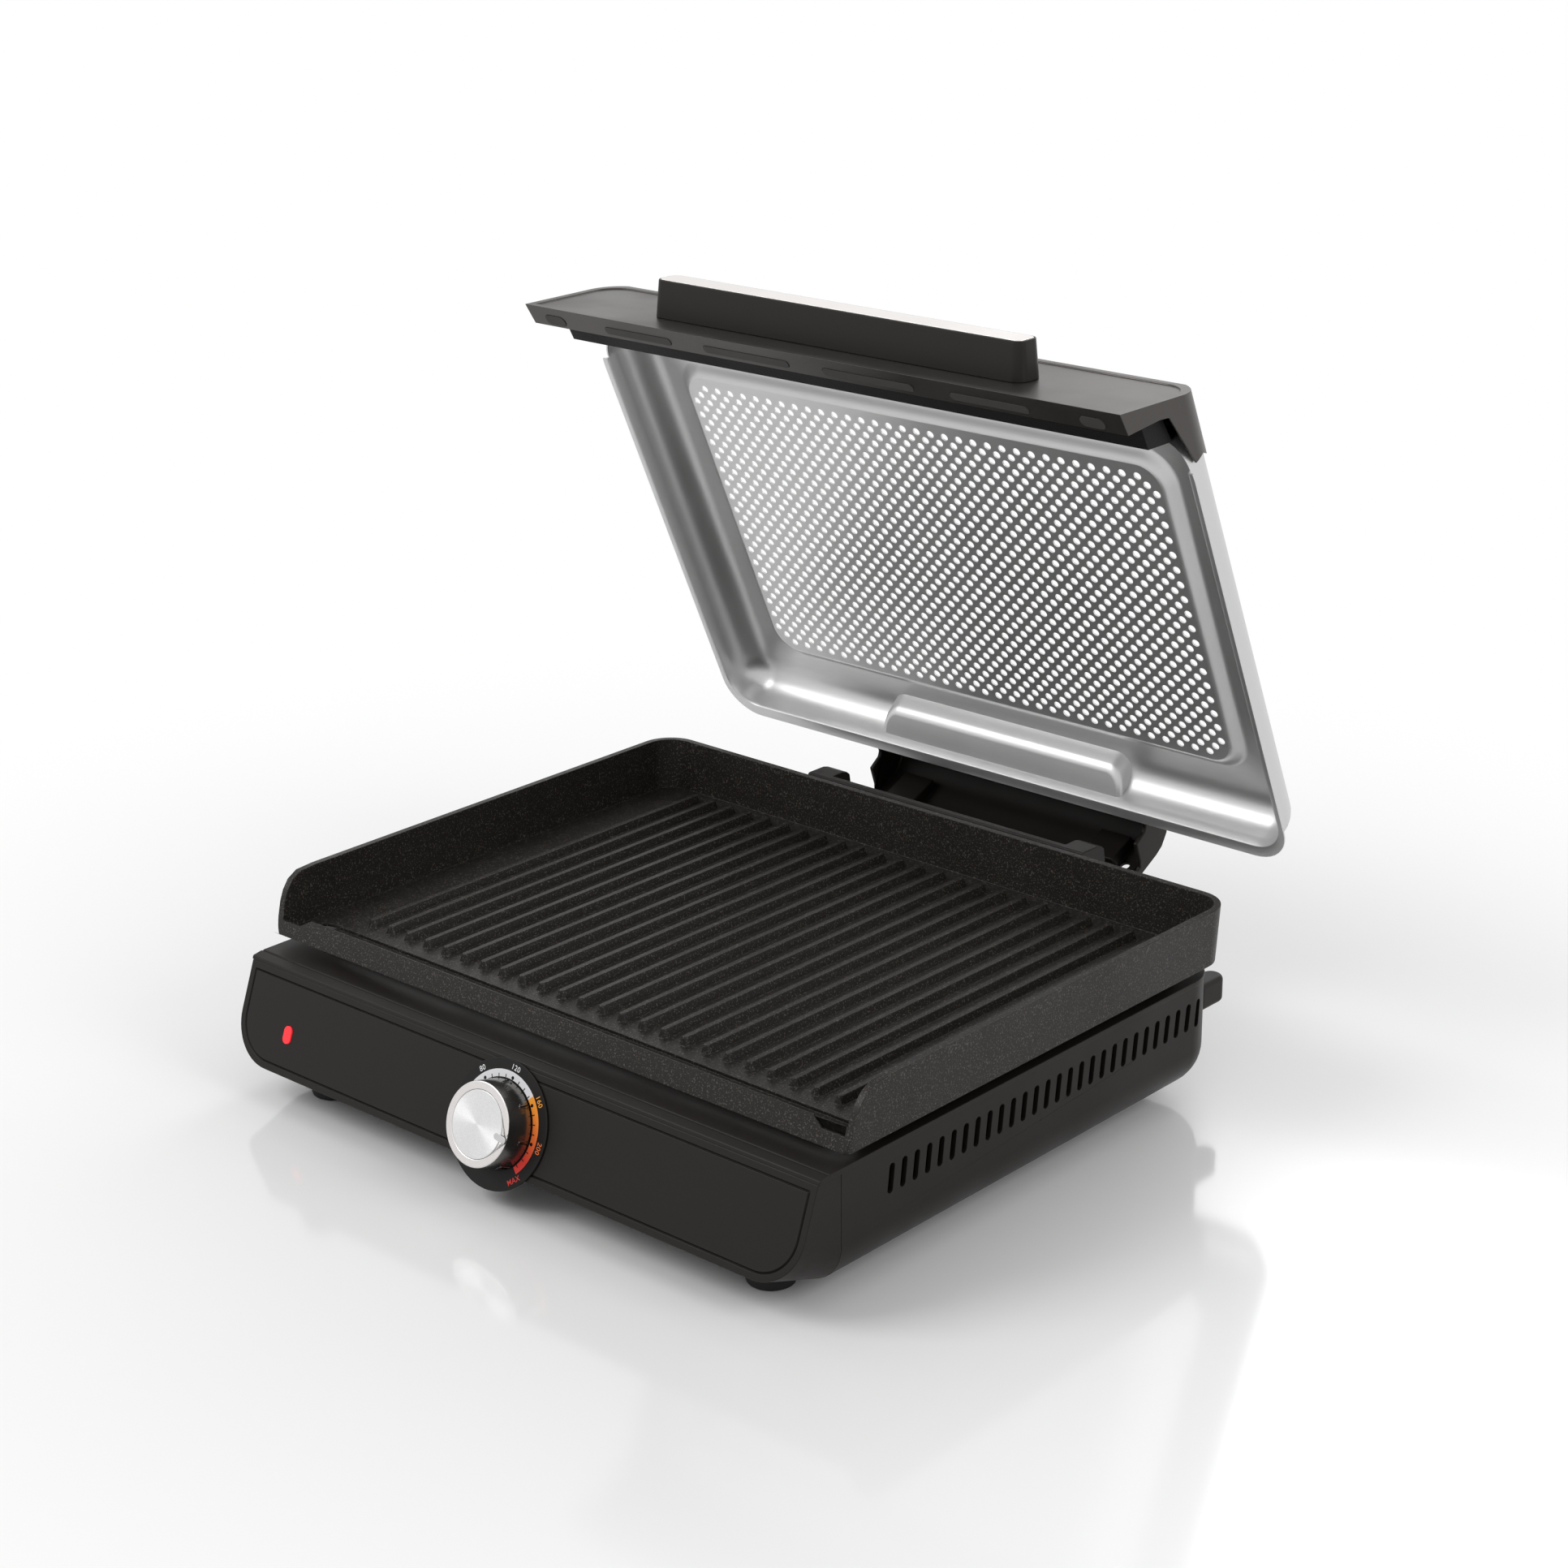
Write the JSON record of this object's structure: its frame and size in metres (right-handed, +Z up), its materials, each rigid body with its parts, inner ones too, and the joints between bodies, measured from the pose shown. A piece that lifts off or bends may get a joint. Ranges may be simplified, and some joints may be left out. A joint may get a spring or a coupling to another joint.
{
  "type": "electric indoor grill",
  "caption": "Countertop electric grill: ribbed non-stick plate on a low base with a sloped fascia and dial, and a hinged steel lid with a perforated panel, front cap and bar handle.",
  "frame": {"origin": "on the surface under the feet, at the centre of the outline of the whole grill with its lid open", "axes": "+X to the right along the fascia, +Y from the fascia to the hinge, +Z up"},
  "size_m": [0.425, 0.467, 0.4252],
  "materials": {
    "side_wrap": "fine matte texture",
    "rear_panel": "fine matte texture",
    "bottom_cover": "matte",
    "front_fascia": "fine matte texture",
    "top_cover": "fine matte texture",
    "feet": "matte",
    "foot_screws": "zinc plated",
    "cover_screws": "zinc plated",
    "deck_screws": "zinc plated",
    "reflector_tray": "bright rolled",
    "grill_plate": "non-stick coating, speckled",
    "heating_element": "dull sheath",
    "element_terminals": "satin",
    "terminal_block": "ceramic white",
    "element_saddles": "satin",
    "thermostat_bracket": "zinc plated",
    "thermostat_screws": "zinc plated",
    "thermostat_body": "moulded",
    "thermostat_shaft": "satin",
    "thermostat_sensor": "drawn copper",
    "sensor_saddles": "satin",
    "thermal_fuse": "satin",
    "indicator_lens": "gloss, tinted",
    "lamp_holder": "fine matte texture",
    "indicator_lamp": "clear",
    "cord_gland": "matte",
    "mains_lead": "matte",
    "lamp_leads": "braided sleeve",
    "element_leads": "braided sleeve",
    "dial_plate": "satin, printed scale",
    "control_knob": "dark plated",
    "knob_cap": "spun",
    "knob_pointer": "satin white",
    "hinge_housing": "fine matte texture",
    "housing_screws": "zinc plated",
    "hinge_pins": "ground",
    "friction_washers": "natural acetal",
    "rear_bumpers": "fine matte texture",
    "lid_pan": "satin",
    "lid_screen": "satin, perforated",
    "lid_cap": "satin metallic paint",
    "cap_pads": "matte",
    "cap_liner": "matte",
    "cap_screws": "zinc plated",
    "lid_handle": "satin dark metallic paint",
    "handle_trim": "satin",
    "handle_screws": "zinc plated",
    "hinge_bracket": "fine matte texture",
    "bracket_studs": "zinc plated",
    "bracket_nuts": "zinc plated"
  },
  "bodies": {
    "base": {"side_wrap": "side_wrap", "rear_panel": "rear_panel", "front_fascia": "front_fascia", "top_cover": "top_cover", "bottom_cover": "bottom_cover", "feet": "feet", "foot_screws": "foot_screws", "cover_screws": "cover_screws", "deck_screws": "deck_screws", "reflector_tray": "reflector_tray", "grill_plate": "grill_plate", "heating_element": "heating_element", "element_terminals": "element_terminals", "terminal_block": "terminal_block", "element_saddles": "element_saddles", "thermostat_bracket": "thermostat_bracket", "thermostat_screws": "thermostat_screws", "thermostat_body": "thermostat_body", "thermostat_sensor": "thermostat_sensor", "sensor_saddles": "sensor_saddles", "thermal_fuse": "thermal_fuse", "indicator_lens": "indicator_lens", "lamp_holder": "lamp_holder", "indicator_lamp": "indicator_lamp", "cord_gland": "cord_gland", "mains_lead": "mains_lead", "lamp_leads": "lamp_leads", "element_leads": "element_leads", "dial_plate": "dial_plate", "hinge_housing": "hinge_housing", "housing_screws": "housing_screws", "hinge_pins": "hinge_pins", "friction_washers": "friction_washers", "rear_bumpers": "rear_bumpers"},
    "knob": {"control_knob": "control_knob", "knob_cap": "knob_cap", "knob_pointer": "knob_pointer", "thermostat_shaft": "thermostat_shaft"},
    "lid": {"lid_pan": "lid_pan", "lid_screen": "lid_screen", "lid_cap": "lid_cap", "cap_pads": "cap_pads", "cap_liner": "cap_liner", "cap_screws": "cap_screws", "lid_handle": "lid_handle", "handle_trim": "handle_trim", "handle_screws": "handle_screws", "hinge_bracket": "hinge_bracket", "bracket_studs": "bracket_studs", "bracket_nuts": "bracket_nuts"}
  },
  "joints": [
    {"name": "lid_hinge", "type": "hinge", "parent": "base", "child": "lid", "pos_m": [0, 0.1664, 0.0699], "axis": [-1, 0, 0], "range_deg": [-65.9, 0]},
    {"name": "knob_turn", "type": "hinge", "parent": "base", "child": "knob", "pos_m": [0, -0.20995, 0.04253], "axis": [0, 0.9385, -0.3453], "range_deg": [-223, 39]}
  ]
}
